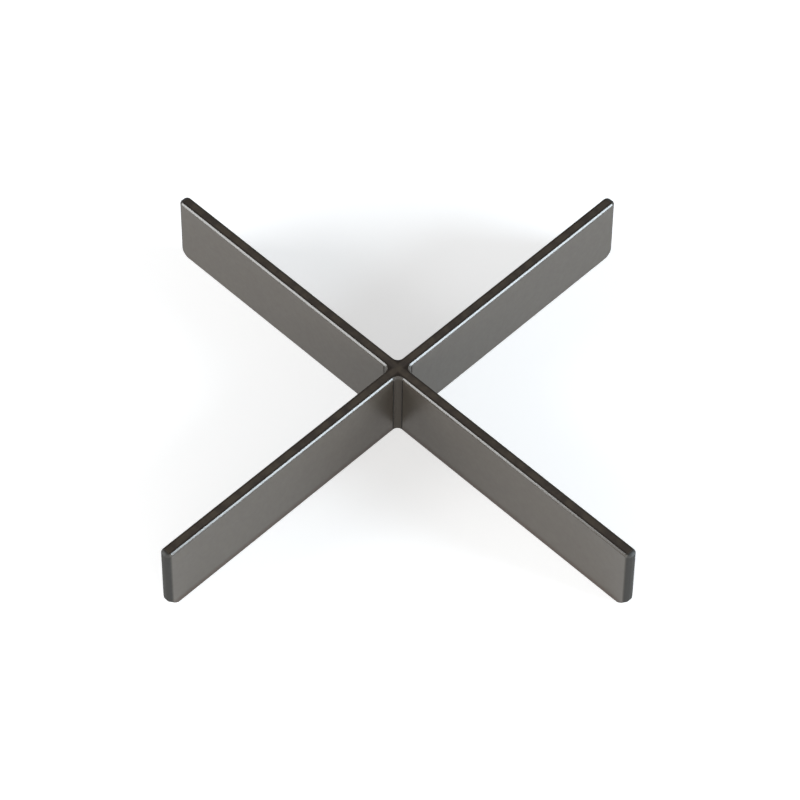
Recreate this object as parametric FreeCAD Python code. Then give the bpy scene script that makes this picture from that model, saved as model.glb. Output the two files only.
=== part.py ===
import FreeCAD, Part
import math
import os

# Cross-shaped tile spacer, moulded in one piece. Four thin arms stand on edge and meet at right
# angles. A tile corner goes into each quarter, and the arms' thickness sets the joint between tiles.
# Each arm ends in a blunt wedge, the nose, whose two faces lean out a little towards the foot.
# The arms lie along X and Y, the foot is at Z = 0, and the origin is the middle of the foot.

# Sizes in millimetres and degrees
joint_width = 3.0
spacer_height = 19.25
arm_reach = 71.0
end_draft = 2.0
nose_angle = 112.0
nose_tip_radius = 0.9
nose_shoulder_radius = 0.8
nose_top_radius = 1.8
nose_foot_radius = 3.4
corner_radius = 1.4
rim_radius = 0.75

# Derived sizes
half_width = joint_width / 2
end_lean = spacer_height * math.tan(math.radians(end_draft))
half_nose_angle = math.radians(nose_angle / 2)
nose_length = half_width / math.tan(half_nose_angle)
tip_cut = nose_tip_radius * (1 / math.sin(half_nose_angle) - 1)
arm_count = 4
quarter_turn = 360 / arm_count
nearly = spacer_height / 1e6
Z_AXIS = FreeCAD.Vector(0, 0, 1)
ORIGIN = FreeCAD.Vector(0, 0, 0)


def arm_outline():
    """Plan of one arm at the foot, along +X: it starts past the centre and ends in a sharp nose."""
    point = arm_reach + end_lean + tip_cut
    shoulder = point - nose_length
    return Part.makePolygon([
        FreeCAD.Vector(-half_width, half_width, 0),
        FreeCAD.Vector(-half_width, -half_width, 0),
        FreeCAD.Vector(shoulder, -half_width, 0),
        FreeCAD.Vector(point, 0, 0),
        FreeCAD.Vector(shoulder, half_width, 0),
        FreeCAD.Vector(-half_width, half_width, 0),
    ])


def upright_nose_edges(solid, aside):
    """The edges of the nose from foot to top, at one distance from the arm's middle plane."""
    return [
        edge for edge in solid.Edges
        if edge.BoundBox.ZLength > spacer_height - nearly and edge.CenterOfMass.x > arm_reach / 2
        and abs(abs(edge.CenterOfMass.y) - aside) < nearly
    ]


def arm(index):
    """One arm, drawn up along its draft: the sides are upright and the nose leans in to the top."""
    solid = Part.Face(arm_outline()).extrude(FreeCAD.Vector(-end_lean, 0, spacer_height))
    solid = solid.makeFillet(nose_tip_radius, upright_nose_edges(solid, 0))
    solid = solid.makeFillet(nose_shoulder_radius, upright_nose_edges(solid, half_width))
    solid.rotate(ORIGIN, Z_AXIS, index * quarter_turn)
    return solid


def crossed_arms():
    """The four arms joined at the centre into one sharp-edged cross."""
    arms = [arm(index) for index in range(arm_count)]
    return arms[0].fuse(arms[1:]).removeSplitter()


def inner_corner_edges(solid):
    """The four upright edges where two arms meet."""
    corner_distance = math.hypot(half_width, half_width)
    found = []
    for edge in solid.Edges:
        middle = edge.CenterOfMass
        upright = abs(edge.Length - spacer_height) < nearly
        if upright and abs(math.hypot(middle.x, middle.y) - corner_distance) < corner_distance / 100:
            found.append(edge)
    return found


def level_edges(solid, level):
    """The whole rim of the solid at one height."""
    return [
        edge for edge in solid.Edges
        if abs(edge.BoundBox.ZMin - level) < nearly and abs(edge.BoundBox.ZMax - level) < nearly
    ]


def bar_envelope():
    """Two opposite arms seen from their side, as a plate: its ends lean, and their corners are round."""
    foot_reach = arm_reach + end_lean
    plate_half_width = half_width + corner_radius
    side = Part.makePolygon([
        FreeCAD.Vector(-foot_reach, -plate_half_width, 0),
        FreeCAD.Vector(foot_reach, -plate_half_width, 0),
        FreeCAD.Vector(arm_reach, -plate_half_width, spacer_height),
        FreeCAD.Vector(-arm_reach, -plate_half_width, spacer_height),
        FreeCAD.Vector(-foot_reach, -plate_half_width, 0),
    ])
    plate = Part.Face(side).extrude(FreeCAD.Vector(0, plate_half_width * 2, 0))
    for level, radius in ((0, nose_foot_radius), (spacer_height, nose_top_radius)):
        ends = [edge for edge in level_edges(plate, level) if abs(edge.CenterOfMass.x) > arm_reach / 2]
        plate = plate.makeFillet(radius, ends)
    return plate


def spacer_cross():
    """The finished spacer: rounded inner corners, soft rims, and the noses rounded off at top and foot."""
    body = crossed_arms()
    body = body.makeFillet(corner_radius, inner_corner_edges(body))
    body = body.makeFillet(rim_radius, level_edges(body, spacer_height) + level_edges(body, 0))
    along_x = bar_envelope()
    along_y = along_x.copy()
    along_y.rotate(ORIGIN, Z_AXIS, quarter_turn)
    return body.common(along_x.fuse(along_y)).removeSplitter()


os.makedirs("parts", exist_ok=True)
spacer_cross().exportStep("parts/spacer_cross.step")
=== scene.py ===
import math

import bmesh
import bpy
from mathutils import Matrix, Vector


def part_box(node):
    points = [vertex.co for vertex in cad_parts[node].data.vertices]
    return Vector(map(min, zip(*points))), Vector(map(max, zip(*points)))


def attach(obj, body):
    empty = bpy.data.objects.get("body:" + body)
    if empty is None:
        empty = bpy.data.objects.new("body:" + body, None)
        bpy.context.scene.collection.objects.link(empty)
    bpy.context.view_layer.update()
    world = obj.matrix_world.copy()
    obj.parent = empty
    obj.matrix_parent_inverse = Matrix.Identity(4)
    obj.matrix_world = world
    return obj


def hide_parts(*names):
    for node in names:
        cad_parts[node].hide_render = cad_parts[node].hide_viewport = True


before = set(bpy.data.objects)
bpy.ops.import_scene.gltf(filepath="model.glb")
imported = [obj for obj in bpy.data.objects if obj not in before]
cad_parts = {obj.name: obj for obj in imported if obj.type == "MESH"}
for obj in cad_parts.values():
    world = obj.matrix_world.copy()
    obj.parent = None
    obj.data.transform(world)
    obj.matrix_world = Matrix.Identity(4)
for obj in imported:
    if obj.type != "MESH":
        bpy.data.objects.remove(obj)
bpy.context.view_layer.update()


# The spacer: one cross of four thin arms on edge, moulded in dark plastic in one shot. Each arm ends in
# a blunt wedge, the nose, that leans out a little towards the foot. The rims and the noses' corners are
# soft, and a fine groove runs down both sides of each inner corner, where a tile's corner goes.
foot_low, top_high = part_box("spacer_cross")
joint_width = 0.0030
half_width = joint_width / 2
spacer_height = top_high.z - foot_low.z
arm_count = 4
quarter_turn = math.pi / 2
arm_reach = 0.0710
end_draft = math.radians(2.0)
end_lean = spacer_height * math.tan(end_draft)
foot_reach = arm_reach + end_lean
corner_radius = 0.0014

# The nose. Its two flanks meet in the tip and end at the shoulders, on the arm's sides.
nose_angle = math.radians(112)
nose_length = half_width / math.tan(nose_angle / 2)
flank_turn = (math.pi - nose_angle) / 2
shoulder_turn = nose_angle / 2
nose_tip_radius = 0.0012
nose_shoulder_radius = 0.0012
nose_top_radius = 0.0013
nose_foot_radius = 0.0033
flank_foot_radius = 0.0029
nose_point = foot_reach + nose_tip_radius * (1 / math.cos(flank_turn) - 1)
shoulder_reach = nose_point - nose_length
flank_reach = nose_point * math.cos(flank_turn)
foot_turn = quarter_turn + end_draft
flank_foot_turn = quarter_turn + end_draft * math.cos(flank_turn)
top_turn = quarter_turn - end_draft

# The rims and the grooves. The top rim is deeper than it is wide.
rim_width = 0.00048
rim_depth = 0.00070
rim_squeeze = rim_width / rim_depth
rim_fullness = 0.31
foot_rim = 0.0005
groove_width = 0.00026
groove_depth = 0.0003
groove_place = half_width + corner_radius
sunk_share = 1 - groove_depth / half_width

# Facets of a round, and how near counts as the same place
true_round = 0.5
round_steps = 8
corner_steps = 12
groove_steps = 2
flat_turn = math.radians(1)
hair = 0.000001
cut_slack = hair / 10
weld_slack = hair * 2
line_slack = hair * 3
side_slack = hair * 8


def select_where(wanted, kind):
    """In edit mode, selects the vertices, edges or faces that a test picks, and nothing else."""
    bpy.ops.mesh.select_mode(type=kind)
    bpy.ops.mesh.select_all(action="DESELECT")
    mesh = bmesh.from_edit_mesh(bpy.context.object.data)
    items = {"VERT": mesh.verts, "EDGE": mesh.edges, "FACE": mesh.faces}[kind]
    for item in items:
        if wanted(item):
            item.select_set(True)
    mesh.select_flush_mode()
    bmesh.update_edit_mesh(bpy.context.object.data)


def upright_at(reach):
    """A test for the edges that stand from foot to top, at one distance out along an arm."""
    return lambda edge: (abs(edge.verts[0].co.z - edge.verts[1].co.z) > spacer_height / 2
                         and abs(max(abs(edge.verts[0].co.x), abs(edge.verts[0].co.y)) - reach) < hair)


def level_at(height):
    """A test for the edges that lie at one height."""
    return lambda edge: all(abs(vert.co.z - height) < hair for vert in edge.verts)


def on_groove_line(along, across):
    """A test for the middle line of the grooves on two opposite arms, by the arms' two directions."""
    return lambda vert: (abs(abs(vert.co.dot(along)) - groove_place) < line_slack
                         and abs(abs(vert.co.dot(across)) - half_width) < side_slack)


def round_edges(wanted, setback, steps, fullness=true_round):
    """Rounds the edges that a test picks. The round starts at a setback from the edge."""
    select_where(wanted, "EDGE")
    bpy.ops.mesh.bevel(offset=setback, segments=steps, profile=fullness, affect="EDGES",
                       clamp_overlap=False)


def heading(turn, aside=0):
    """The direction of one of the four arms, or one that is turned aside from it."""
    angle = turn * quarter_turn + aside
    return Vector((math.cos(angle), math.sin(angle), 0))


def round_ends(corner_reach, height, radius, turn_to, upward, aside=0):
    """Rounds the four ends at the top or the foot, seen from the side, with a fan of flat cuts.
    The arc starts level and turns to the end's leaning face. upward is 1 at the top and -1 at the
    foot. aside turns the cuts from the arm's direction to that of a flank."""
    arc_start = corner_reach - radius * math.tan(turn_to / 2)
    step = turn_to / round_steps
    cut_distance = radius * math.cos(step / 2)
    for turn in range(arm_count):
        along = heading(turn, aside)
        centre = along * arc_start + Vector((0, 0, height - upward * radius))
        for count in range(round_steps):
            slope = (count + 0.5) * step
            normal = along * math.sin(slope) + Vector((0, 0, upward * math.cos(slope)))
            bpy.ops.mesh.select_all(action="SELECT")
            bpy.ops.mesh.bisect(plane_co=centre + normal * cut_distance, plane_no=normal, use_fill=True,
                                clear_outer=True, threshold=cut_slack)


# The block where the arms cross, and the arms and noses drawn out of its four sides
bpy.ops.object.select_all(action="DESELECT")
bpy.ops.mesh.primitive_cube_add(size=1, location=(0, 0, spacer_height / 2))
spacer = bpy.context.object
spacer.name = "spacer"
spacer.scale = (joint_width, joint_width, spacer_height)
bpy.ops.object.transform_apply(location=True, rotation=True, scale=True)
bpy.ops.object.mode_set(mode="EDIT")
select_where(lambda face: abs(face.normal.z) < hair, "FACE")
bpy.ops.mesh.extrude_faces_indiv()
bpy.ops.transform.shrink_fatten(value=shoulder_reach - half_width)
bpy.ops.mesh.extrude_faces_indiv()
bpy.ops.transform.shrink_fatten(value=nose_length)
select_where(lambda vert: abs(vert.co.x) > nose_point - hair, "VERT")
bpy.ops.transform.resize(value=(1, 0, 1), center_override=(0, 0, 0))
select_where(lambda vert: abs(vert.co.y) > nose_point - hair, "VERT")
bpy.ops.transform.resize(value=(0, 1, 1), center_override=(0, 0, 0))
bpy.ops.mesh.select_all(action="SELECT")
bpy.ops.mesh.remove_doubles(threshold=hair)
bpy.ops.mesh.dissolve_limited(angle_limit=flat_turn)

# The upright corners: the noses' tips and shoulders, and the four inner corners
round_edges(upright_at(nose_point), nose_tip_radius * math.tan(flank_turn), round_steps)
round_edges(upright_at(shoulder_reach), nose_shoulder_radius * math.tan(shoulder_turn / 2), round_steps)
round_edges(upright_at(half_width), corner_radius, corner_steps)

# The noses lean in towards the top
for turn in range(arm_count):
    along = heading(turn)
    select_where(lambda vert: vert.co.dot(along) > arm_reach / 2 and vert.co.z > spacer_height / 2, "VERT")
    bpy.ops.transform.translate(value=-along * end_lean)

# The rims: the top one is rounded while the cross is squeezed flat, so that it comes out steeper
bpy.ops.mesh.select_all(action="SELECT")
bpy.ops.transform.resize(value=(1, 1, rim_squeeze), center_override=(0, 0, 0))
round_edges(level_at(spacer_height * rim_squeeze), rim_width, round_steps, rim_fullness)
bpy.ops.mesh.select_all(action="SELECT")
bpy.ops.transform.resize(value=(1, 1, 1 / rim_squeeze), center_override=(0, 0, 0))
round_edges(level_at(0), foot_rim, round_steps)

# The noses' feet, straight on and then over both flanks, and their tops
round_ends(foot_reach, 0, nose_foot_radius, foot_turn, -1)
for aside in (-flank_turn, flank_turn):
    round_ends(flank_reach, 0, flank_foot_radius, flank_foot_turn, -1, aside)
round_ends(arm_reach, spacer_height, nose_top_radius, top_turn, 1)
bpy.ops.mesh.select_all(action="SELECT")
bpy.ops.mesh.remove_doubles(threshold=weld_slack)

# The grooves, sunk into the arms' sides where the inner corners' rounds begin
round_edges(upright_at(groove_place), groove_width / 2, groove_steps)
bpy.ops.mesh.mark_sharp()
select_where(on_groove_line(heading(0), heading(1)), "VERT")
bpy.ops.transform.resize(value=(1, sunk_share, 1), center_override=(0, 0, 0))
select_where(on_groove_line(heading(1), heading(0)), "VERT")
bpy.ops.transform.resize(value=(sunk_share, 1, 1), center_override=(0, 0, 0))
bpy.ops.mesh.select_all(action="SELECT")
bpy.ops.mesh.normals_make_consistent(inside=False)
bpy.ops.object.mode_set(mode="OBJECT")
bpy.ops.object.shade_smooth()
weighted = spacer.modifiers.new("weighted_normals", "WEIGHTED_NORMAL")
weighted.weight = 100
weighted.keep_sharp = True
bpy.ops.object.modifier_apply(modifier=weighted.name)

# The plastic's tones. The sides and the top are each mottled between a pale and a deep one. The top's
# stronger mottle is partly a real tone and partly painted reflection, the patchy gloss of a wavy top.
side_pale = (0.054, 0.046, 0.036)
side_deep = (0.051, 0.043, 0.034)
top_pale = (0.069, 0.054, 0.040)
top_deep = (0.046, 0.036, 0.029)
# Painted shade along the top's edges, beside the rims' bright lines
brink_shade_brown = (0.022, 0.016, 0.012)
# Painted shade in the inner corners
corner_shade_grey = (0.036, 0.030, 0.023)
# Painted shade in the grooves
groove_shade_black = (0.004, 0.003, 0.002)
# Painted shade along the foot
foot_shade_brown = (0.024, 0.011, 0.003)
# Painted shade on the noses
nose_shade_black = (0.010, 0.009, 0.007)

# The plastic's gloss: the roughness of its glossiest and dullest patches, what the rims take off it,
# and what the noses and the front inner corner add
gloss_low = 0.34
gloss_high = 0.40
rim_polish = 0.17
nose_dullness = 0.40
corner_dullness = 0.45
plastic_ior = 1.57

# The patches of tone and of gloss: how many to the metre, how much finer noise lies over them, and
# which values of the noise count as their two ends
cloud_scale = 400
cloud_detail = 2.0
cloud_low = 0.38
cloud_high = 0.62
patch_scale = 900
patch_detail = 3.0
patch_low = 0.3
patch_high = 0.7

# The relief: a slight swell with a fine grain on it
swell_scale = 430
swell_detail = 1.0
swell_depth = 0.00001
grain_scale = 5200
grain_detail = 2.0
grain_depth = 0.000001
relief_strength = 0.45

# Where one tone turns into the next, and what is left of the darkening away from the front
fade = 0.00005
rim_bottom = spacer_height - rim_depth
rim_blend = rim_depth / 10
brink = half_width - rim_width
brink_shade_width = 0.0005
nose_shade_width = 0.0006
foot_band_full = 0.0012
foot_band_end = 0.0024
front_corner_start = 0.0020
front_corner_full = 0.0035
front_arms_full = 0.0040
groove_share_behind = 0.25
foot_share_behind = 0.15

plastic = bpy.data.materials.new("dark_moulded_plastic")
plastic.use_nodes = True
nodes = plastic.node_tree.nodes
links = plastic.node_tree.links
shader = nodes["Principled BSDF"]
shader.inputs["IOR"].default_value = plastic_ior
place = nodes.new("ShaderNodeTexCoord")


def mottle(scale, detail):
    """A soft noise all through the piece. scale is in patches to the metre."""
    noise = nodes.new("ShaderNodeTexNoise")
    noise.inputs["Scale"].default_value = scale
    noise.inputs["Detail"].default_value = detail
    links.new(place.outputs["Object"], noise.inputs["Vector"])
    return noise.outputs["Fac"]


def spread(source, low, high, to_low=0, to_high=1):
    """Turns a range of one value into another range, and holds it there past both ends."""
    ruler = nodes.new("ShaderNodeMapRange")
    for name, value in (("From Min", low), ("From Max", high), ("To Min", to_low), ("To Max", to_high)):
        ruler.inputs[name].default_value = value
    links.new(source, ruler.inputs["Value"])
    return ruler.outputs["Result"]


def reckon(operation, *values):
    """One step of arithmetic in the nodes at hand. Each value is a number or comes from a node."""
    step = nodes.new("ShaderNodeMath")
    step.operation = operation
    for socket, value in zip(step.inputs, values):
        if isinstance(value, (int, float)):
            socket.default_value = value
        else:
            links.new(value, socket)
    return step.outputs[0]


def overlap(*masks):
    """A mask that is 1 where all the given ones are."""
    shared = masks[0]
    for mask in masks[1:]:
        shared = reckon("MULTIPLY", shared, mask)
    return shared


def laid_over(mask, under, over):
    """A colour that gives way to another where the mask is 1. Each is a constant or a mix."""
    mix = nodes.new("ShaderNodeMix")
    mix.data_type = "RGBA"
    links.new(mask, mix.inputs["Factor"])
    color_sockets = [socket for socket in mix.inputs if socket.type == "RGBA"]
    for socket, color in zip(color_sockets, (under, over)):
        if isinstance(color, tuple):
            socket.default_value = (*color, 1)
        else:
            links.new(color, socket)
    return next(socket for socket in mix.outputs if socket.type == "RGBA")


def relief(pattern, depth):
    """A bump as deep as given, in metres, that follows a pattern."""
    bump = nodes.new("ShaderNodeBump")
    bump.inputs["Distance"].default_value = depth
    bump.inputs["Strength"].default_value = relief_strength
    links.new(pattern, bump.inputs["Height"])
    return bump


# Where a point lies: how high, how far out along its arm, how far off the arm's middle, and how far
# to the front. The front is between the arms along +X and -Y.
axes = nodes.new("ShaderNodeSeparateXYZ")
links.new(place.outputs["Object"], axes.inputs[0])
height = axes.outputs["Z"]
span_x = reckon("ABSOLUTE", axes.outputs["X"])
span_y = reckon("ABSOLUTE", axes.outputs["Y"])
outward = reckon("MAXIMUM", span_x, span_y)
off_middle = reckon("MINIMUM", span_x, span_y)
to_front = reckon("SUBTRACT", axes.outputs["X"], axes.outputs["Y"])

# The noses' painted shade, which leans with their draft
leaning = reckon("MULTIPLY_ADD", height, math.tan(end_draft), outward)
nose_shade_mask = spread(leaning, shoulder_reach - nose_shade_width, shoulder_reach - fade * 2)

# The flat top, its brink beside the rims, which gets painted shade, and the sides below the rims
top_mask = spread(height, spacer_height - fade * 2, spacer_height - fade)
brink_shade_mask = spread(off_middle, brink - brink_shade_width, brink)
side_mask = spread(height, rim_bottom, rim_bottom + rim_blend * 2, 1, 0)

# The inner corners, which get painted shade, and their grooves, whose painted shade is darkest at the
# front corner
front_share = spread(to_front, front_corner_start, front_corner_full, groove_share_behind, 1)
inside = spread(outward, groove_place - fade, groove_place + fade, 1, 0)
corner_shade_mask = overlap(inside, reckon("SUBTRACT", 1, top_mask))
groove_start = spread(outward, groove_place - fade * 4, groove_place - fade * 2)
groove_end = spread(outward, groove_place + fade * 2, groove_place + fade * 4, 1, 0)
groove_shade_mask = overlap(groove_start, groove_end, side_mask, front_share)

# A band of painted shade along the arms' foot, strongest on the two front arms and none in the inner
# corners
foot_shade_band = spread(height, foot_band_full, foot_band_end, 1, 0)
foot_share = spread(to_front, -front_arms_full, front_arms_full, foot_share_behind, 1)
foot_shade_mask = overlap(foot_shade_band, foot_share, reckon("SUBTRACT", 1, inside))

cloud = spread(mottle(cloud_scale, cloud_detail), cloud_low, cloud_high)
side_color = laid_over(cloud, side_pale, side_deep)
# The top's mottle is partly painted reflection, and its brink gets painted shade beside the rims
top_color = laid_over(brink_shade_mask, laid_over(cloud, top_pale, top_deep), brink_shade_brown)
body_color = laid_over(top_mask, side_color, top_color)
# Painted shade in the inner corners
with_corner_shade = laid_over(corner_shade_mask, body_color, corner_shade_grey)
# Painted shade in the grooves, full at the front corner
with_groove_shade = laid_over(groove_shade_mask, with_corner_shade, groove_shade_black)
# Painted shade along the foot
with_foot_shade = laid_over(foot_shade_mask, with_groove_shade, foot_shade_brown)
# Painted shade on the noses
links.new(laid_over(nose_shade_mask, with_foot_shade, nose_shade_black), shader.inputs["Base Color"])

gloss = spread(mottle(patch_scale, patch_detail), patch_low, patch_high, gloss_low, gloss_high)
polish = spread(height, rim_bottom - rim_blend, rim_bottom + rim_blend, 0, rim_polish)
satin = reckon("SUBTRACT", gloss, polish)
with_nose = reckon("MULTIPLY_ADD", nose_shade_mask, nose_dullness, satin)
dull_corner = reckon("MAXIMUM", overlap(corner_shade_mask, front_share), groove_shade_mask)
links.new(reckon("MULTIPLY_ADD", dull_corner, corner_dullness, with_nose), shader.inputs["Roughness"])

swell = relief(mottle(swell_scale, swell_detail), swell_depth)
grain = relief(mottle(grain_scale, grain_detail), grain_depth)
links.new(swell.outputs[0], grain.inputs["Normal"])
links.new(grain.outputs[0], shader.inputs["Normal"])
spacer.data.materials.append(plastic)
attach(spacer, "root")
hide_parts("spacer_cross")


# The table: a matt white sheet, much larger than the spacer, that lies flat under its foot. A faint
# glow, seen only directly and in the plastic's gloss, lifts it to white, and it still takes the shadow.
table_size = 8
paper_white = 0.8
eye_glow = 0.58
gloss_glow = 0.5
bpy.ops.object.select_all(action="DESELECT")
bpy.ops.mesh.primitive_plane_add(size=table_size, location=(0, 0, 0))
table = bpy.context.object
table.name = "table"
paper = bpy.data.materials.new("white_paper")
paper.use_nodes = True
nodes = paper.node_tree.nodes
links = paper.node_tree.links
paper_shader = nodes["Principled BSDF"]
paper_shader.inputs["Base Color"].default_value = (paper_white, paper_white, paper_white, 1)
paper_shader.inputs["Roughness"].default_value = 1.0
paper_shader.inputs["Specular IOR Level"].default_value = 0.0
paper_shader.inputs["Emission Color"].default_value = (1, 1, 1, 1)
path = nodes.new("ShaderNodeLightPath")
in_gloss = reckon("MULTIPLY", path.outputs["Is Glossy Ray"], gloss_glow)
glow = reckon("MULTIPLY_ADD", path.outputs["Is Camera Ray"], eye_glow, in_gloss)
links.new(glow, paper_shader.inputs["Emission Strength"])
table.data.materials.append(paper)


# The studio: a dim room, pale only near the floor line, with three soft panels round the table. The
# right one is cooler and stronger than the left one, and both draw the bright lines along the rims.
# A wide and dim one behind the camera fills the front.
view_azimuth = 44.42
pale_wall = 0.85
dim_wall = 0.16
pale_until = 0.14
dim_from = 0.24
room = bpy.data.worlds.new("room")
bpy.context.scene.world = room
room.use_nodes = True
nodes = room.node_tree.nodes
links = room.node_tree.links
direction = nodes.new("ShaderNodeTexCoord")
split = nodes.new("ShaderNodeSeparateXYZ")
links.new(direction.outputs["Generated"], split.inputs[0])
ramp = nodes.new("ShaderNodeValToRGB")
low_wall, high_wall = ramp.color_ramp.elements
low_wall.position = pale_until
low_wall.color = (pale_wall, pale_wall, pale_wall, 1)
high_wall.position = dim_from
high_wall.color = (dim_wall, dim_wall, dim_wall, 1)
links.new(split.outputs["Z"], ramp.inputs[0])
links.new(ramp.outputs[0], nodes["Background"].inputs["Color"])
nodes["Background"].inputs["Strength"].default_value = 1.0


def direction_to(azimuth, elevation):
    """The way from the table to a place round it. Azimuth 0 is in front, and 90 to the right."""
    turn = math.radians(azimuth)
    rise = math.radians(elevation)
    return Vector((math.sin(turn) * math.cos(rise), -math.cos(turn) * math.cos(rise), math.sin(rise)))


def soft_panel(name, side, elevation, distance, width, height, radiance, color):
    """A soft light that faces the table. side is degrees from the camera, to its right."""
    out = direction_to(view_azimuth + side, elevation)
    lamp = bpy.data.lights.new(name, "AREA")
    lamp.shape = "RECTANGLE"
    lamp.size = width
    lamp.size_y = height
    lamp.energy = radiance * math.pi * width * height
    lamp.color = color
    panel = bpy.data.objects.new(name, lamp)
    panel.location = out * distance
    panel.rotation_euler = out.to_track_quat("Z", "Y").to_euler()
    bpy.context.collection.objects.link(panel)


soft_panel("right_panel", side=76, elevation=16, distance=1.1, width=0.50, height=0.56, radiance=16.6,
           color=(0.80, 0.91, 1.0))
soft_panel("left_panel", side=-79, elevation=17, distance=1.1, width=0.58, height=0.68, radiance=8.6,
           color=(0.96, 0.985, 1.0))
soft_panel("front_panel", side=0, elevation=11, distance=1.3, width=2.4, height=0.50, radiance=4.6,
           color=(1.0, 0.98, 0.95))


# The camera: about 0.65 m from the top of the crossing with a long lens, looking down between two
# arms. It looks a little past the crossing, so the aim differs from the line to it.
view_elevation = 52.359
camera_distance = 0.6524
aim_azimuth = 44.341
aim_elevation = 52.987
roll = math.radians(0.595)
sensor_width = 36.0
focal_length = 131.5116
aim_turn = math.radians(aim_azimuth)
back = direction_to(aim_azimuth, aim_elevation)
level_right = Vector((math.cos(aim_turn), math.sin(aim_turn), 0))
level_up = back.cross(level_right)
right = level_right * math.cos(roll) + level_up * math.sin(roll)
up = level_up * math.cos(roll) - level_right * math.sin(roll)
crossing_top = Vector((0, 0, spacer_height))
eye = crossing_top + direction_to(view_azimuth, view_elevation) * camera_distance
lens = bpy.data.cameras.new("camera")
lens.sensor_width = sensor_width
lens.lens = focal_length
camera = bpy.data.objects.new("camera", lens)
camera.matrix_world = Matrix.Translation(eye) @ Matrix((right, up, back)).transposed().to_4x4()
bpy.context.collection.objects.link(camera)
bpy.context.scene.camera = camera
bpy.context.scene.view_settings.view_transform = "Standard"
